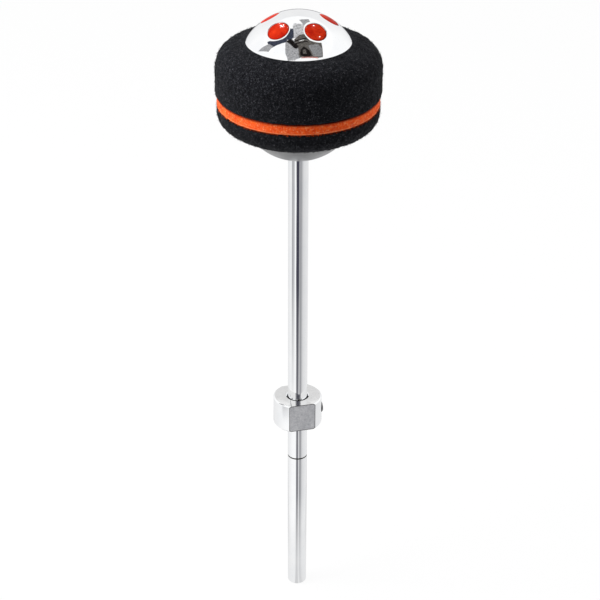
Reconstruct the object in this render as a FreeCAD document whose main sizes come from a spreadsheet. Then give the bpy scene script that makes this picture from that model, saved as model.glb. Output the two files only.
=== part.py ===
import FreeCAD, Part
import math
import os
import Sketcher
from types import SimpleNamespace

# A bass drum beater: a plated steel shaft, a weight collar that slides on it, and a head of felt
# rings clamped between two plated domes. Lengths are in millimetres. The shaft's axis is Z, the
# centre of its lower end is the origin, and the collar's set screw points along +X.
SIZES = {
    # Shaft: the clamped end, the ring scribed above it, and the threaded spigot inside the head
    "shaft_diameter": 8.0,
    "shaft_end_round": 0.8,
    "clamp_length": 65.9,
    "mark_width": 0.6,
    "mark_depth": 0.25,
    "spigot_diameter": 6.0,
    "spigot_standout": 1.5,
    "spigot_end_chamfer": 0.6,
    # Head: the height of its underside, the three felt rings from the bottom up, and how far the
    # two lower ones lie inside the upper one
    "head_height": 216.2,
    "lower_felt_thickness": 11.25,
    "stripe_thickness": 3.95,
    "upper_felt_thickness": 20.95,
    "felt_diameter": 64.4,
    "lower_felt_inset": 0.4,
    "stripe_inset": 0.9,
    "felt_edge_round": 1.0,
    "felt_bore_clearance": 0.3,
    "felt_flat_share": 0.92,
    "lower_felt_crown_share": 0.77,
    "lower_felt_roll_angle": 59.2,
    "upper_felt_crown_share": 0.473,
    "upper_felt_roll_angle": 62.2,
    # Domes: pressed caps with a rolled-in lip, and the ring of holes in the upper one
    "dome_diameter": 40.3,
    "dome_height": 11.3,
    "dome_wall": 0.6,
    "rim_lip_width": 1.0,
    "rim_lip_thickness": 0.6,
    "rim_round": 0.2,
    "hole_diameter": 8.3,
    "hole_circle_diameter": 24.2,
    "hole_count": 5,
    "hole_edge_round": 0.35,
    "dome_shaft_clearance": 0.15,
    # Hubs: the red mouldings that fill the domes and centre the felt. The pads of the upper one
    # stand in the holes, a little below the face of the dome
    "hub_clearance": 0.2,
    "hub_boss_diameter": 17.0,
    "hub_boss_depth": 6.0,
    "hub_floor": 2.0,
    "hub_pocket_diameter": 13.6,
    "hub_bore_clearance": 0.1,
    "hub_pad_clearance": 0.1,
    "hub_pad_recess": 0.1,
    "hub_pad_round": 0.4,
    "hub_pad_root": 1.0,
    # Clamp hardware on the spigot
    "washer_diameter": 12.0,
    "washer_thickness": 1.6,
    "washer_bore_clearance": 0.2,
    "spring_washer_width": 2.4,
    "spring_washer_thickness": 1.6,
    "spring_washer_gap": 1.0,
    "nut_flats": 10.0,
    "nut_height": 5.0,
    "nut_chamfer_share": 0.58,
    "thread_clearance": 0.05,
    # Weight collar and its set screw
    "collar_place": 82.9,
    "collar_diameter": 20.0,
    "collar_height": 12.4,
    "collar_flat_depth": 1.7,
    "collar_edge_chamfer": 0.5,
    "collar_bore_chamfer": 0.75,
    "slide_clearance": 0.05,
    "set_screw_height": 5.4,
    "set_screw_diameter": 5.0,
    "set_screw_proud": 0.5,
    "set_screw_end_chamfer": 0.5,
    "set_screw_tip_diameter": 2.5,
    "set_screw_tip_length": 1.2,
    "set_screw_cup_depth": 0.6,
    "set_screw_tip_gap": 0.05,
    "socket_flats": 2.5,
    "socket_depth": 2.8,
    # How far a cut runs past the material that it removes
    "overrun": 2.0,
}
FULL_TURN = 360.0
HALF_TURN = 180.0
SAME_LENGTH_SHARE = 1e-3
SKETCH_ORIGIN = (-1, 1)

doc = FreeCAD.newDocument("bass_drum_beater")
sheet = doc.addObject("Spreadsheet::Sheet", "Sizes")


class Size:
    """A value, and the formula that ties it to the sheet."""

    def __init__(self, value, formula):
        self.value = value
        self.formula = formula

    def __add__(self, other):
        other = as_size(other)
        return Size(self.value + other.value, f"({self.formula} + {other.formula})")

    def __sub__(self, other):
        other = as_size(other)
        return Size(self.value - other.value, f"({self.formula} - {other.formula})")

    def __mul__(self, other):
        other = as_size(other)
        return Size(self.value * other.value, f"({self.formula} * {other.formula})")

    def __truediv__(self, other):
        other = as_size(other)
        return Size(self.value / other.value, f"({self.formula} / {other.formula})")

    def __neg__(self):
        return Size(-self.value, f"(-{self.formula})")


def as_size(number):
    if isinstance(number, Size):
        return number
    return Size(number, str(number))


def square_root(size):
    return Size(math.sqrt(size.value), f"sqrt({size.formula})")


def arc_sine(size):
    return Size(math.degrees(math.asin(size.value)), f"asin({size.formula})")


def sine(angle):
    return Size(math.sin(math.radians(angle.value)), f"sin({angle.formula})")


def cosine(angle):
    return Size(math.cos(math.radians(angle.value)), f"cos({angle.formula})")


def fill_sheet():
    """One row per size: its name, and its value under an alias of the same name."""
    sizes = SimpleNamespace()
    for row, (name, value) in enumerate(SIZES.items(), start=1):
        sheet.set(f"A{row}", name)
        sheet.set(f"B{row}", str(value))
        sheet.setAlias(f"B{row}", name)
        setattr(sizes, name, Size(value, f"Sizes.{name}"))
    doc.recompute()
    return sizes


s = fill_sheet()

# Radii and heights that several pieces share
shaft_radius = s.shaft_diameter / 2
spigot_radius = s.spigot_diameter / 2
collar_radius = s.collar_diameter / 2
boss_radius = s.hub_boss_diameter / 2
felt_bore = boss_radius + s.felt_bore_clearance
felt_radius = s.felt_diameter / 2
washer_bore = spigot_radius + s.washer_bore_clearance
dome_radius = s.dome_diameter / 2
sphere_radius = (dome_radius * dome_radius + s.dome_height * s.dome_height) / (s.dome_height * 2)
sphere_centre = s.dome_height - sphere_radius
hole_lean = arc_sine(s.hole_circle_diameter / 2 / sphere_radius)
stripe_height = s.head_height + s.lower_felt_thickness
upper_felt_height = stripe_height + s.stripe_thickness
felt_top_height = upper_felt_height + s.upper_felt_thickness
pocket_floor_depth = s.hub_boss_depth - s.hub_floor
shoulder_height = s.head_height + pocket_floor_depth - s.washer_thickness
upper_washer_height = felt_top_height - pocket_floor_depth
spring_washer_height = upper_washer_height + s.washer_thickness
nut_base_height = spring_washer_height + s.spring_washer_thickness
spigot_top_height = nut_base_height + s.nut_height + s.spigot_standout


def new_body(name):
    body = doc.addObject("PartDesign::Body", name)
    body.Label = name
    return body


def origin_feature(body, role):
    """One of the body's own base planes or axes."""
    return next(feature for feature in body.Origin.OriginFeatures if feature.Role == role)


def new_sketch(body, role, name):
    sketch = body.newObject("Sketcher::SketchObject", name)
    sketch.AttachmentSupport = [(origin_feature(body, role), "")]
    sketch.MapMode = "FlatFace"
    return sketch


def dimension(sketch, kind, size, *ends):
    number = sketch.addConstraint(Sketcher.Constraint(kind, *ends, size.value))
    sketch.setExpression(f"Constraints[{number}]", size.formula)


def place_point(sketch, point, across, up):
    """Dimension a point from the sketch's origin; a zero lines it up with the origin."""
    for kind, in_line, size in (("DistanceX", "Vertical", across), ("DistanceY", "Horizontal", up)):
        size = as_size(size)
        if size.value == 0:
            sketch.addConstraint(Sketcher.Constraint(in_line, *point, *SKETCH_ORIGIN))
        elif size.value < 0:
            dimension(sketch, kind, -size, *point, *SKETCH_ORIGIN)
        else:
            dimension(sketch, kind, size, *SKETCH_ORIGIN, *point)


def sketch_point(across, up):
    return FreeCAD.Vector(as_size(across).value, as_size(up).value, 0)


def arc_between(start, end, radius):
    """The shorter arc from start to end, turning left, so its centre lies left of the way."""
    chord = end - start
    left = FreeCAD.Vector(-chord.y, chord.x, 0).normalize()
    middle = (start + end) / 2
    centre = middle + left * math.sqrt(radius * radius - chord.Length * chord.Length / 4)
    return Part.Arc(start, centre - left * radius, end)


def outline(sketch, corners):
    """A closed outline, anticlockwise. A corner is (across, up), and a third value is the radius
    of the arc that leads to the next corner: a left turn, or a right turn where it is negative."""
    points = [sketch_point(corner[0], corner[1]) for corner in corners]
    runs = []
    for place, corner in enumerate(corners):
        start = points[place]
        end = points[(place + 1) % len(points)]
        if len(corner) == 2:
            runs.append((sketch.addGeometry(Part.LineSegment(start, end)), 1, 2))
        elif corner[2].value > 0:
            runs.append((sketch.addGeometry(arc_between(start, end, corner[2].value)), 1, 2))
        else:
            runs.append((sketch.addGeometry(arc_between(end, start, -corner[2].value)), 2, 1))
    for place, corner in enumerate(corners):
        run, first, last = runs[place]
        before, before_first, before_last = runs[place - 1]
        sketch.addConstraint(Sketcher.Constraint("Coincident", before, before_last, run, first))
        place_point(sketch, (run, first), corner[0], corner[1])
        if len(corner) == 3:
            turn = corner[2] if corner[2].value > 0 else -corner[2]
            dimension(sketch, "Radius", turn, run)


def circle(sketch, across, up, radius):
    upward = FreeCAD.Vector(0, 0, 1)
    ring = sketch.addGeometry(Part.Circle(sketch_point(across, up), upward, radius.value))
    dimension(sketch, "Radius", radius, ring)
    place_point(sketch, (ring, 3), across, up)


def hexagon(sketch, flats):
    """A hexagon about the origin, with two of its flats above and below."""
    corner = flats / square_root(as_size(3))
    half = corner / 2
    side = flats / 2
    outline(sketch, [(corner, 0), (half, side), (-half, side), (-corner, 0), (-half, -side), (half, -side)])


def turn(body, sketch, axis="V_Axis"):
    """Add the sketch to the body, turned about one of the sketch's own axes."""
    turning = body.newObject("PartDesign::Revolution", f"{sketch.Name}_turned")
    turning.Profile = sketch
    turning.ReferenceAxis = (sketch, [axis])
    turning.Angle = FULL_TURN
    sketch.Visibility = False
    doc.recompute()
    return turning


def turned(name, corners, axis="V_Axis"):
    """A body of revolution from one half of its section."""
    body = new_body(name)
    sketch = new_sketch(body, "XZ_Plane", f"{name}_section")
    outline(sketch, corners)
    turn(body, sketch, axis)
    return body


def tube(name, bore, radius, length):
    return turned(name, [(bore, 0), (radius, 0), (radius, length), (bore, length)])


def cut(body, sketch, length, reverse=False):
    """Cut the sketch through the body, and make sure that it took material away."""
    before = body.Tip
    pocket = body.newObject("PartDesign::Pocket", f"{sketch.Name}_cut")
    pocket.Profile = sketch
    pocket.Length = length.value
    pocket.setExpression("Length", length.formula)
    pocket.Reversed = reverse
    doc.recompute()
    if not pocket.Shape.Volume < before.Shape.Volume:
        raise RuntimeError(f"{pocket.Name} removes nothing")
    return pocket


def repeat_per_hole(body, feature, name):
    """Repeat a feature about Z, once for each hole in the dome."""
    pattern = body.newObject("PartDesign::PolarPattern", name)
    pattern.Originals = [feature]
    pattern.Axis = (origin_feature(body, "Z_Axis"), [""])
    pattern.Angle = FULL_TURN
    pattern.Occurrences = int(s.hole_count.value)
    pattern.setExpression("Occurrences", s.hole_count.formula)
    body.Tip = pattern
    doc.recompute()


def stand(body, height, axis=(0, 0, 1), angle=0.0, across=None):
    """Put a body at its height on the shaft, turned about one axis."""
    body.Placement = FreeCAD.Placement(FreeCAD.Vector(), FreeCAD.Rotation(FreeCAD.Vector(*axis), angle))
    body.setExpression("Placement.Base.z", height.formula)
    if across is not None:
        body.setExpression("Placement.Base.x", across.formula)
    return body


def upside_down(body, height):
    return stand(body, height, axis=(1, 0, 0), angle=HALF_TURN)


def make_shaft():
    """Rounded lower end, a scribed ring, a shoulder for the head and the threaded spigot."""
    half_mark = s.mark_width / 2
    return turned("shaft", [
        (0, 0),
        (shaft_radius - s.shaft_end_round, 0, s.shaft_end_round),
        (shaft_radius, s.shaft_end_round),
        (shaft_radius, s.clamp_length - half_mark),
        (shaft_radius - s.mark_depth, s.clamp_length),
        (shaft_radius, s.clamp_length + half_mark),
        (shaft_radius, shoulder_height),
        (spigot_radius, shoulder_height),
        (spigot_radius, spigot_top_height - s.spigot_end_chamfer),
        (spigot_radius - s.spigot_end_chamfer, spigot_top_height),
        (0, spigot_top_height),
    ])


def make_collar():
    """A turned ring with two milled flats and a tapped hole for the set screw."""
    bore = shaft_radius + s.slide_clearance
    mouth = bore + s.collar_bore_chamfer
    edge = collar_radius - s.collar_edge_chamfer
    body = turned("weight_collar", [
        (mouth, 0),
        (edge, 0),
        (collar_radius, s.collar_edge_chamfer),
        (collar_radius, s.collar_height - s.collar_edge_chamfer),
        (edge, s.collar_height),
        (mouth, s.collar_height),
        (bore, s.collar_height - s.collar_bore_chamfer),
        (bore, s.collar_bore_chamfer),
    ])
    flat = collar_radius - s.collar_flat_depth
    outside = collar_radius + s.overrun
    sketch = new_sketch(body, "XY_Plane", "collar_flat")
    outline(sketch, [(-outside, flat), (outside, flat), (outside, outside), (-outside, outside)])
    pocket = cut(body, sketch, s.collar_height + s.overrun, reverse=True)
    mirrored = body.newObject("PartDesign::Mirrored", "collar_flats")
    mirrored.Originals = [pocket]
    mirrored.MirrorPlane = (sketch, ["H_Axis"])
    body.Tip = mirrored
    doc.recompute()
    tapping = new_sketch(body, "YZ_Plane", "collar_tapping")
    circle(tapping, 0, s.set_screw_height, s.set_screw_diameter / 2 + s.thread_clearance)
    cut(body, tapping, outside, reverse=True)
    return stand(body, s.collar_place)


def make_set_screw():
    """A socket set screw with a cup point, lying along X with its tip at the shaft."""
    radius = s.set_screw_diameter / 2
    tip = s.set_screw_tip_diameter / 2
    seat = shaft_radius + s.set_screw_tip_gap
    length = collar_radius + s.set_screw_proud - seat
    body = turned("collar_set_screw", [
        (s.set_screw_cup_depth, 0),
        (length, 0),
        (length, radius - s.set_screw_end_chamfer),
        (length - s.set_screw_end_chamfer, radius),
        (s.set_screw_tip_length, radius),
        (0, tip),
    ], axis="H_Axis")
    sketch = new_sketch(body, "YZ_Plane", "set_screw_socket")
    sketch.setExpression("AttachmentOffset.Base.z", length.formula)
    hexagon(sketch, s.socket_flats)
    cut(body, sketch, s.socket_depth)
    return stand(body, s.collar_place + s.set_screw_height, across=seat)


def dome_section(opening=None):
    """Half the section of a pressed cap with its rim at zero height and its lip rolled inwards.
    An opening is the radius of a hole at the crown."""
    inner_radius = sphere_radius - s.dome_wall
    lip_reach = s.rim_lip_thickness - sphere_centre
    lip_corner = square_root(inner_radius * inner_radius - lip_reach * lip_reach)
    lip_edge = lip_corner - s.rim_lip_width
    across = 0
    outer_crown = s.dome_height
    inner_crown = s.dome_height - s.dome_wall
    if opening is not None:
        across = opening
        outer_crown = sphere_centre + square_root(sphere_radius * sphere_radius - opening * opening)
        inner_crown = sphere_centre + square_root(inner_radius * inner_radius - opening * opening)
    return [
        (lip_edge, 0),
        (dome_radius, 0, sphere_radius),
        (across, outer_crown),
        (across, inner_crown, -inner_radius),
        (lip_corner, s.rim_lip_thickness),
        (lip_edge, s.rim_lip_thickness),
    ]


def round_edges(body, name, radius, wanted):
    """Round the closed edges of the body for which wanted(edge) holds."""
    tip = body.Tip
    edges = [f"Edge{place}" for place, edge in enumerate(tip.Shape.Edges, start=1)
             if edge.isClosed() and wanted(edge)]
    fillet = body.newObject("PartDesign::Fillet", name)
    fillet.Base = (tip, edges)
    fillet.Radius = radius.value
    fillet.setExpression("Radius", radius.formula)
    doc.recompute()


def is_rim(edge):
    """The outer edge of a dome, where it meets the felt."""
    box = edge.BoundBox
    at_rim = box.ZMax < s.rim_lip_thickness.value / 2
    return at_rim and math.isclose(box.XLength, s.dome_diameter.value, rel_tol=SAME_LENGTH_SHARE)


def is_hole_mouth(edge):
    """A hole's edge in the outer face of the dome, as long as the hole's own circle."""
    middle = FreeCAD.Vector(0, 0, sphere_centre.value)
    inside = sphere_radius.value - s.dome_wall.value / 2
    outside = all((vertex.Point - middle).Length > inside for vertex in edge.Vertexes)
    round_length = math.pi * s.hole_diameter.value
    return outside and math.isclose(edge.Length, round_length, rel_tol=SAME_LENGTH_SHARE)


def make_lower_dome():
    body = turned("lower_dome", dome_section(shaft_radius + s.dome_shaft_clearance))
    round_edges(body, "lower_dome_rim", s.rim_round, is_rim)
    return upside_down(body, s.head_height)


def make_upper_dome():
    """The pierced cap. Each hole is square to the dome, and the first one faces the set screw."""
    body = turned("upper_dome", dome_section())
    sketch = new_sketch(body, "XY_Plane", "dome_hole")
    leaning = FreeCAD.Rotation(FreeCAD.Vector(0, 1, 0), hole_lean.value)
    sketch.AttachmentOffset = FreeCAD.Placement(FreeCAD.Vector(), leaning)
    sketch.setExpression("AttachmentOffset.Base.z", sphere_centre.formula)
    sketch.setExpression("AttachmentOffset.Rotation.Angle", hole_lean.formula)
    circle(sketch, 0, 0, s.hole_diameter / 2)
    pocket = cut(body, sketch, sphere_radius + s.overrun, reverse=True)
    repeat_per_hole(body, pocket, "dome_holes")
    round_edges(body, "dome_hole_mouths", s.hole_edge_round, is_hole_mouth)
    round_edges(body, "upper_dome_rim", s.rim_round, is_rim)
    return stand(body, felt_top_height)


def make_hub(name):
    """The moulding inside a dome: it follows the dome, hooks over its lip, and has a boss that
    centres the felt and holds the clamp hardware in a pocket."""
    outer_radius = sphere_radius - s.dome_wall - s.hub_clearance
    inner_radius = sphere_radius - s.dome_wall
    lip_reach = s.rim_lip_thickness - sphere_centre
    lip_corner = square_root(inner_radius * inner_radius - lip_reach * lip_reach)
    base_radius = lip_corner - s.rim_lip_width - s.hub_clearance
    hook_height = s.rim_lip_thickness + s.hub_clearance
    hook_reach = hook_height - sphere_centre
    hook_radius = square_root(outer_radius * outer_radius - hook_reach * hook_reach)
    pocket_radius = s.hub_pocket_diameter / 2
    mouth_height = sphere_centre + square_root(outer_radius * outer_radius - pocket_radius * pocket_radius)
    bore = spigot_radius + s.hub_bore_clearance
    return turned(name, [
        (bore, -s.hub_boss_depth),
        (boss_radius, -s.hub_boss_depth),
        (boss_radius, 0),
        (base_radius, 0),
        (base_radius, hook_height),
        (hook_radius, hook_height, outer_radius),
        (pocket_radius, mouth_height),
        (pocket_radius, -pocket_floor_depth),
        (bore, -pocket_floor_depth),
    ])


def make_upper_hub():
    """The hub under the pierced dome, with a round-edged pad for each hole."""
    body = make_hub("upper_hub")
    sketch = new_sketch(body, "XZ_Plane", "hub_pad")
    leaning = FreeCAD.Rotation(FreeCAD.Vector(0, 0, 1), -hole_lean.value)
    sketch.AttachmentOffset = FreeCAD.Placement(FreeCAD.Vector(), leaning)
    sketch.setExpression("AttachmentOffset.Base.y", sphere_centre.formula)
    sketch.setExpression("AttachmentOffset.Rotation.Angle", (-hole_lean).formula)
    top = sphere_radius - s.hub_pad_recess
    root = sphere_radius - s.dome_wall - s.hub_clearance - s.hub_pad_root
    radius = s.hole_diameter / 2 - s.hub_pad_clearance
    round_across = radius - s.hub_pad_round
    round_reach = top - s.hub_pad_round
    round_up = square_root(round_reach * round_reach - round_across * round_across)
    spread = top / round_reach
    outline(sketch, [
        (0, root),
        (radius, root),
        (radius, round_up, s.hub_pad_round),
        (round_across * spread, round_up * spread, top),
        (0, top),
    ])
    repeat_per_hole(body, turn(body, sketch), "hub_pads")
    return stand(body, felt_top_height)


def make_core_sleeve():
    """The tube that keeps the two hubs apart when the nut is tightened."""
    bore = spigot_radius + s.hub_bore_clearance
    length = felt_top_height - s.head_height - s.hub_boss_depth * 2
    return stand(tube("core_sleeve", bore, boss_radius, length), s.head_height + s.hub_boss_depth)


def felt_ring(name, radius, thickness, crown_share, roll_angle):
    """A felt ring: a lightly rounded flat side at zero height, and a crowned side above it that
    runs level under the dome and rolls down the overhang in two arcs. The tight shoulder arc turns
    through the roll angle, and the wide crown arc takes the rest of the quarter turn."""
    flat = dome_radius * s.felt_flat_share
    overhang = radius - flat
    drop = thickness * crown_share
    across = cosine(roll_angle)
    up = sine(roll_angle)
    spread = across + up - 1
    shoulder = (drop * across - overhang * (as_size(1) - up)) / spread
    crown = (overhang * up - drop * (as_size(1) - across)) / spread
    return turned(name, [
        (felt_bore, 0),
        (radius - s.felt_edge_round, 0, s.felt_edge_round),
        (radius, s.felt_edge_round),
        (radius, thickness - drop, shoulder),
        (flat + crown * across, thickness - crown * (as_size(1) - up), crown),
        (flat, thickness),
        (felt_bore, thickness),
    ])


def make_felts():
    lower = felt_ring("lower_felt", felt_radius - s.lower_felt_inset, s.lower_felt_thickness,
                      s.lower_felt_crown_share, s.lower_felt_roll_angle)
    stripe = tube("stripe_felt", felt_bore, felt_radius - s.stripe_inset, s.stripe_thickness)
    upper = felt_ring("upper_felt", felt_radius, s.upper_felt_thickness,
                      s.upper_felt_crown_share, s.upper_felt_roll_angle)
    return [
        upside_down(lower, stripe_height),
        stand(stripe, stripe_height),
        stand(upper, upper_felt_height),
    ]


def make_washer(name, height):
    return stand(tube(name, washer_bore, s.washer_diameter / 2, s.washer_thickness), height)


def make_spring_washer():
    """A square-section ring with a slanted split."""
    radius = washer_bore + s.spring_washer_width
    thickness = s.spring_washer_thickness
    body = tube("spring_washer", washer_bore, radius, thickness)
    half = s.spring_washer_gap / 2
    slant = thickness / 2
    sketch = new_sketch(body, "XZ_Plane", "spring_washer_split")
    outline(sketch, [
        (-half - slant, -slant),
        (half - slant, -slant),
        (half + slant, thickness + slant),
        (-half + slant, thickness + slant),
    ])
    cut(body, sketch, radius + s.overrun)
    return stand(body, spring_washer_height)


def make_nut():
    """A hexagon nut: a chamfered disc with everything outside its six flats cut away."""
    bore = spigot_radius + s.thread_clearance
    corner = s.nut_flats / square_root(as_size(3))
    face = s.nut_flats / 2
    chamfer = (corner - face) * s.nut_chamfer_share
    body = turned("clamp_nut", [
        (bore, 0),
        (face, 0),
        (corner, chamfer),
        (corner, s.nut_height - chamfer),
        (face, s.nut_height),
        (bore, s.nut_height),
    ])
    sketch = new_sketch(body, "XY_Plane", "nut_flats")
    hexagon(sketch, s.nut_flats)
    circle(sketch, 0, 0, corner + s.overrun)
    cut(body, sketch, s.nut_height + s.overrun, reverse=True)
    return stand(body, nut_base_height)


def make_parts():
    return [
        make_shaft(),
        make_collar(),
        make_set_screw(),
        make_lower_dome(),
        upside_down(make_hub("lower_hub"), s.head_height),
        make_washer("lower_clamp_washer", shoulder_height),
        *make_felts(),
        make_core_sleeve(),
        make_upper_hub(),
        make_washer("upper_clamp_washer", upper_washer_height),
        make_spring_washer(),
        make_nut(),
        make_upper_dome(),
    ]


def check(parts):
    """Stop if a feature failed or a piece is not one sound solid."""
    for item in doc.Objects:
        if "Invalid" in item.State or "Error" in item.State:
            raise RuntimeError(f"{item.Name} failed: {item.State}")
    for part in parts:
        shape = part.Shape
        if shape.isNull() or not shape.isValid() or len(shape.Solids) != 1:
            raise RuntimeError(f"{part.Label} is not one sound solid")


def write(parts):
    os.makedirs("parts", exist_ok=True)
    for part in parts:
        part.Shape.exportStep(f"parts/{part.Label}.step")
        print(part.Label, round(part.Shape.Volume), part.Shape.BoundBox)


sub_parts = make_parts()
doc.recompute()
check(sub_parts)
write(sub_parts)
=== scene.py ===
import random
from math import acos, asin, atan2, ceil, cos, degrees, dist, pi, radians, sin, sqrt, tau

import bmesh
import bpy
from bmesh.types import BMEdge, BMVert
from mathutils import Matrix, Vector, noise


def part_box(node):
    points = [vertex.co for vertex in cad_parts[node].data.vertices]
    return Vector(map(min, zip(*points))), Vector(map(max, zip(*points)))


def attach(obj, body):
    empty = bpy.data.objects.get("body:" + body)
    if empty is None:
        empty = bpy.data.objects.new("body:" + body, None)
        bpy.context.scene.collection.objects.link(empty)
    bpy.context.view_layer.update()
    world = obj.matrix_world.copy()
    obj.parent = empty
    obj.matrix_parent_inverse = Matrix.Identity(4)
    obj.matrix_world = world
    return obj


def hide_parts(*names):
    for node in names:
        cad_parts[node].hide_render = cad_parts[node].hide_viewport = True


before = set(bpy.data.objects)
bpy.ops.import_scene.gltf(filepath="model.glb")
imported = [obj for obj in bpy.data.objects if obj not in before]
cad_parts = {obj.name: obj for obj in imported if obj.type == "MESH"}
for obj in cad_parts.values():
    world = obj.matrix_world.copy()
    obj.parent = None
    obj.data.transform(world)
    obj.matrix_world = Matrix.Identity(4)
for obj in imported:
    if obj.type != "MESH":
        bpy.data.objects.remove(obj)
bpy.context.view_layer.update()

# A bass drum beater: a plated shaft with a sliding weight collar, and a head of felt rings between
# two plated domes. Lengths are in metres, and the shaft's axis is Z.
UP = Vector((0, 0, 1))
WELD = 1e-6
ANGLE_WELD = 1e-4
SHARP_ANGLE = radians(38)
CRISP_ANGLE = radians(15)

# Shaft
SHAFT_SIDES = 96
SHAFT_END_ROUND = 0.0008
SHAFT_END_STEPS = 8
MARK_HEIGHT = 0.0659
MARK_WIDTH = 0.0006
MARK_DEPTH = 0.00025
SPIGOT_RADIUS = 0.003
SPIGOT_CHAMFER = 0.0006

# Domes: pressed caps with a lip rolled in under the rim. The lower one is dull, with painted shade towards
# its rim under the felt.
DOME_RADIUS = 0.0403 / 2
DOME_HEIGHT = 0.0113
DOME_WALL = 0.0006
DOME_BORE = 0.00415
DOME_SIDES = 160
CROWN_STEPS = 28
LIP_WIDTH = 0.001
LIP_THICKNESS = 0.0006
RIM_ROUND = 0.0002
RIM_EASE = 0.00004
RIM_SHADE_HEIGHTS = (0.0085, 0.003)

# Holes in the upper dome, and the faces between them
HOLE_COUNT = 5
HOLE_RADIUS = 0.0083 / 2
HOLE_CIRCLE_RADIUS = 0.0242 / 2
HOLE_ROUND = 0.00035
HOLE_ROUND_STEPS = 5
HOLE_SIDES = 64
SHEET_RINGS = 9
BORDER_HALVINGS = 50
CAP_POLAR = radians(9)
CAP_RING_SHARES = (0.66, 0.33)

# Red liner under the upper dome, with pads that stand in the holes
LINER_CLEARANCE = 0.0002
LINER_STEPS = 30
BOSS_RADIUS = 0.0085
BOSS_DEPTH = 0.006
POCKET_RADIUS = 0.0068
POCKET_FLOOR = 0.002
SPIGOT_CLEARANCE = 0.0001
PAD_CLEARANCE = 0.0001
PAD_RECESS = 0.0001
PAD_ROUND = 0.0004
PAD_ROUND_STEPS = 6
PAD_TOP_STEPS = 8
PAD_ROOT = 0.001

# Weight collar. Its side has the first finish, and ON_FLAT to ON_END number the others.
COLLAR_SIDES = 144
COLLAR_CHAMFER = 0.0005
COLLAR_BORE = 0.00405
COLLAR_BORE_CHAMFER = 0.00075
COLLAR_MOUTH = COLLAR_BORE + COLLAR_BORE_CHAMFER
COLLAR_THROAT = COLLAR_BORE + 0.00035
COLLAR_EDGE_ROUND = 0.00015
COLLAR_EDGE_STEPS = 3
FLAT_EDGE = 0.0003
ON_FLAT, ON_FLAT_EDGE, IN_BORE, ON_END = 1, 2, 3, 4
LEVEL_NORMAL = 0.99

# Set screw
TAPPING_CLEARANCE = 0.00005
SCREW_SIDES = 48
SCREW_CHAMFER = 0.0005
SCREW_TIP_RADIUS = 0.00125
SCREW_TIP_LENGTH = 0.0012
SCREW_CUP = 0.0005
SOCKET_RIM = 0.001875
SOCKET_FLATS = 0.0025
SOCKET_DEPTH = 0.0028
SOCKET_LEAD = 0.0002

# Felt rings. A crown is its share of the thickness, and its roll in degrees.
FELT_FLAT_RADIUS = DOME_RADIUS * 0.92
FELT_BORE = 0.0088
FELT_EDGE_ROUND = 0.001
FELT_EDGE_STEPS = 5
SHOULDER_STEPS = 16
FELT_CROWN_STEPS = 10
LOWER_CROWN = (0.77, 59.2)
UPPER_CROWN = (0.473, 62.2)
STRIPE_EDGE_ROUND = 0.0003
STRIPE_EDGE_STEPS = 3
FELT_SIDES = 420
FELT_STEP = 0.0006
HIDDEN_COARSENING = 4
LUMP_LENGTH = 0.0021
LUMP_HEIGHT = 0.0003
TUFT_LENGTH = 0.0008
TUFT_HEIGHT = 0.00014
UPPER_SINK = 0.00035
LOWER_SINK = 0.00045
STRIPE_SINK = 0.0001

# Felt: dark and middle tones, pale flecks and sheen, and the colours of loose fibres. The stripe has
# painted shade along its upper edge and a painted highlight along its lower one.
BLACK_FELT = ((0.0028, 0.0032, 0.0044), (0.0085, 0.0094, 0.0118), (0.105, 0.105, 0.116), 0.02)
BLACK_FIBRES = (("fibre_black", (0.012, 0.012, 0.013)), ("fibre_grey", (0.15, 0.15, 0.16)),
                ("fibre_lint", (0.9, 0.88, 0.84)))
ORANGE_FELT = ((0.78, 0.045, 0.005), (1.0, 0.14, 0.014), (1.0, 0.6, 0.28), 0.04)
ORANGE_FIBRES = (("fibre_orange", (0.92, 0.13, 0.015)), ("fibre_apricot", (1.0, 0.58, 0.3)))
# Painted shade along the stripe's upper edge, under the black felt, and a painted highlight along its lower
# edge
EDGE_SHADE_PAINT = ((0.2, 0.012, 0.003), 0.9)
SHADE_BAND_WIDTH = 0.0009
EDGE_HIGHLIGHT_PAINT = ((1.0, 0.5, 0.24), 0.4)
HIGHLIGHT_BAND_WIDTH = 0.0008

# Nap: how many fibres, their shortest and longest, and the share of each colour. A fringe hangs from
# the stripe's lower edge, and is drawn together in tufts.
UPPER_NAP = (11000, (0.0006, 0.0015), (0.67, 0.315, 0.015))
LOWER_NAP = (11000, (0.0006, 0.0015), (0.28, 0.7, 0.02))
STRIPE_NAP = (6500, (0.0005, 0.0012), (0.5, 0.5))
FRINGE = (1600, (0.0006, 0.0012), (0.35, 0.65))
FRINGE_HEIGHTS = (0.0002, 0.0008)
FRINGE_FALL = 1.3
TUFT_PULL = 0.03
TUFT_RATE = 30.0
FIBRE_RADIUS = 0.00003
FIBRE_TAPER = (1.2, 1.0, 0.5)
FIBRE_ROOT = 0.0002
FIBRE_LIFT = (0.16, 1.2)
FIBRE_BEND = (0.2, 0.9)
FIBRE_DROOP = (0.0, 0.5)
FIBRE_SQUARE = ((0.2, 0.2), (0.8, 0.2), (0.8, 0.8), (0.2, 0.8))

# The photograph's camera: its place before it is swung round to its azimuth
CAMERA_AZIMUTH = radians(-14)
CAMERA_DISTANCE = 0.675136
CAMERA_HEIGHT = 0.516682
CAMERA_ASIDE = 0.0008626
CAMERA_PITCH = 0.5082
CAMERA_ROLL = 0.004
SENSOR_WIDTH = 36.0
LENS = 114.361
FRONT = Vector((sin(CAMERA_AZIMUTH), -cos(CAMERA_AZIMUTH), 0))
RIGHT = Vector((cos(CAMERA_AZIMUTH), sin(CAMERA_AZIMUTH), 0))

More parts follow.
